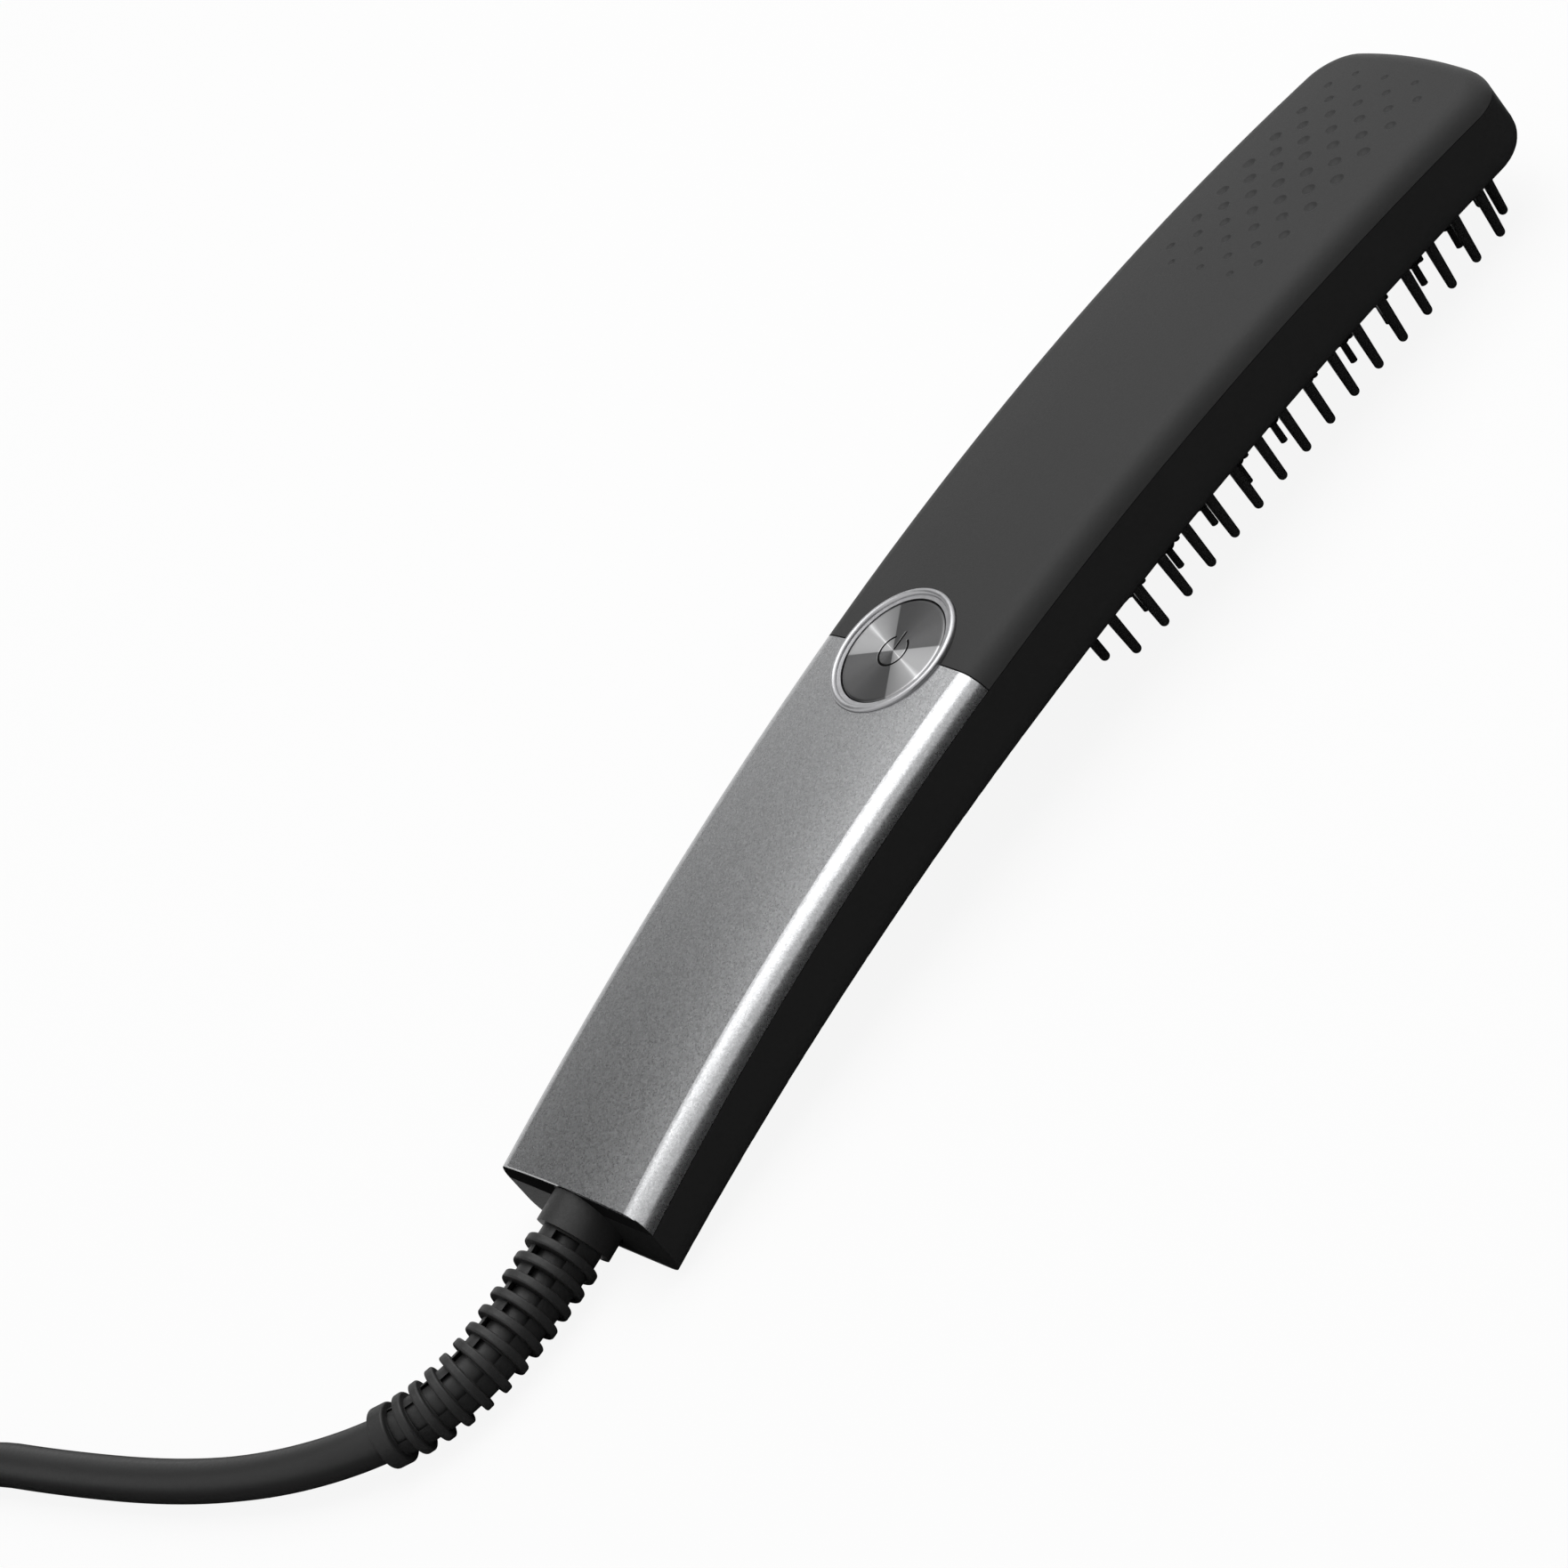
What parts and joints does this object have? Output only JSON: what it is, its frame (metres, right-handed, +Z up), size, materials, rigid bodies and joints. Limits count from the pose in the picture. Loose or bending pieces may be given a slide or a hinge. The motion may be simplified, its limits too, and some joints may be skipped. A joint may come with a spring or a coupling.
{
  "type": "steam hair straightener brush",
  "caption": "Curved steam straightening brush with a domed heated plate inside a row of edge bristles, a silver handle cover, a round power button and a swivel cord.",
  "frame": {"origin": "on the resting surface, below the middle of the brush without its cord", "axes": "+X along the brush to the tip of the head, +Z up, bristles pointing down"},
  "size_m": [0.4787, 0.1576, 0.0326],
  "materials": {
    "soft_black": "soft touch, matte",
    "matte_black": "fine matte",
    "silver_paint": "silver paint with fine flake",
    "grey_metal": "satin grey",
    "spun_metal": "spun, radial sheen",
    "steel": "bright",
    "dark_steel": "blackened",
    "part_black": "moulded",
    "board_green": "solder mask",
    "capacitor_yellow": "moulded",
    "terminal_green": "moulded",
    "bristle_black": "satin",
    "coated_black": "glossy ceramic coating",
    "ceramic": "ceramic in foil",
    "film_amber": "polyimide film",
    "clear_plastic": "translucent moulding",
    "rubber_black": "matte",
    "silicone": "translucent silicone",
    "wire_white": "glass-fibre sleeve",
    "bush_white": "acetal",
    "brass": "polished",
    "cord_black": "matte jacket",
    "nickel": "nickel plated"
  },
  "bodies": {
    "body": {"top_shell": "soft_black", "handle_cover": "silver_paint", "lower_shell": "matte_black", "shell_screws": "steel", "button_bezel": "grey_metal", "tact_switch": "part_black", "main_board": "board_green", "board_screws": "steel", "film_capacitor": "capacitor_yellow", "triac": "part_black", "terminal_block": "terminal_green", "edge_comb": "matte_black", "edge_bristles": "bristle_black", "comb_screws": "dark_steel", "heater_plate": "coated_black", "cool_tips": "bristle_black", "ptc_heaters": "ceramic", "insulation_pad": "film_amber", "heater_clamp": "steel", "clamp_screws": "steel", "thermistor": "part_black", "thermal_fuse": "steel", "water_tank": "clear_plastic", "steam_nozzle": "clear_plastic", "steam_tube": "silicone", "heater_leads": "wire_white", "mains_leads": "wire_white", "swivel_bush": "bush_white", "contact_block": "bush_white", "contact_springs": "brass"},
    "button": {"power_button": "spun_metal", "switch_plunger": "part_black"},
    "stopper": {"filler_stopper": "rubber_black"},
    "swivel": {"swivel_shaft": "matte_black", "slip_rings": "brass", "strain_relief": "rubber_black", "cord": "cord_black", "cord_coil": "cord_black", "cord_tie": "rubber_black", "plug_body": "matte_black", "plug_pins": "nickel"}
  },
  "joints": [
    {"name": "button_press", "type": "slide", "parent": "body", "child": "button", "axis": [0.0762, 0, -0.9971], "range_m": [0, 0.0005], "stiffness_N_per_m": 1500, "springref_m": -0.0006},
    {"name": "stopper_pull", "type": "slide", "parent": "body", "child": "stopper", "axis": [0.045, 0, -0.999], "range_m": [0, 0.006]},
    {"name": "cord_swivel", "type": "hinge", "parent": "body", "child": "swivel", "pos_m": [-0.1185, 0, 0.0077], "axis": [0.9848, 0, 0.1736], "continuous": true}
  ]
}
